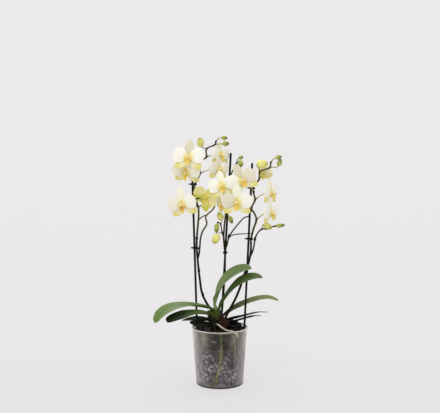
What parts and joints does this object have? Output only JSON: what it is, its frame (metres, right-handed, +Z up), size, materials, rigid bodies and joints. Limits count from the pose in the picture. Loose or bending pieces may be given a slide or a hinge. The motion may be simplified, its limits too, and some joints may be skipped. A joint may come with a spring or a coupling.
{
  "type": "potted orchid",
  "caption": "Potted moth orchid in a clear bark-filled nursery pot, with strap leaves and staked arching spikes of open flowers and buds.",
  "frame": {"origin": "centre of the pot's underside, on the surface that the pot stands on", "axes": "+Z up; -Y is the side that most blooms face; +X is to the right of someone who looks at that side"},
  "size_m": [0.2764, 0.1374, 0.531],
  "materials": {
    "clear_plastic": "clear pressed plastic, fogged inside by condensation",
    "black_plastic": "smooth black moulded plastic",
    "bark_brown": "damp chipped pine bark",
    "root_green": "matt, green where wet and silver-grey where dry",
    "crown_green": "satin",
    "sheath_brown": "dry and papery",
    "leaf_green": "leathery, soft shine",
    "stem_olive": "satin",
    "bud_green": "satin",
    "petal_cream": "soft, slightly waxy",
    "lip_yellow": "soft, waxy"
  },
  "bodies": {
    "root": {"pot": "clear_plastic", "bark": "bark_brown", "roots": "root_green", "crown": "crown_green", "dry_sheath": "sheath_brown", "bloom_01": "petal_cream", "bloom_02": "petal_cream", "bloom_03": "petal_cream", "bloom_04": "petal_cream", "bloom_05": "petal_cream", "bloom_06": "petal_cream", "bloom_07": "petal_cream", "bloom_08": "petal_cream", "bloom_09": "petal_cream", "bloom_10": "petal_cream", "bloom_11": "petal_cream", "bloom_12": "petal_cream", "bloom_13": "petal_cream", "clip_left_lower": "black_plastic", "clip_left_upper": "black_plastic", "clip_middle": "black_plastic", "clip_right_lower": "black_plastic", "clip_right_upper": "black_plastic", "leaf_left_back": "leaf_green", "leaf_left_front": "leaf_green", "leaf_left_lower": "leaf_green", "leaf_left_upper": "leaf_green", "leaf_right_back": "leaf_green", "leaf_right_lower": "leaf_green", "leaf_right_middle": "leaf_green", "leaf_right_top": "leaf_green", "leaf_right_upper": "leaf_green", "lip_01": "lip_yellow", "lip_02": "lip_yellow", "lip_03": "lip_yellow", "lip_04": "lip_yellow", "lip_05": "lip_yellow", "lip_06": "lip_yellow", "lip_07": "lip_yellow", "lip_08": "lip_yellow", "lip_09": "lip_yellow", "lip_10": "lip_yellow", "lip_11": "lip_yellow", "lip_13": "lip_yellow", "spike_left": "stem_olive", "spike_middle": "stem_olive", "spike_right": "stem_olive", "stake_left": "black_plastic", "stake_middle": "black_plastic", "stake_right": "black_plastic"}
  },
  "joints": []
}
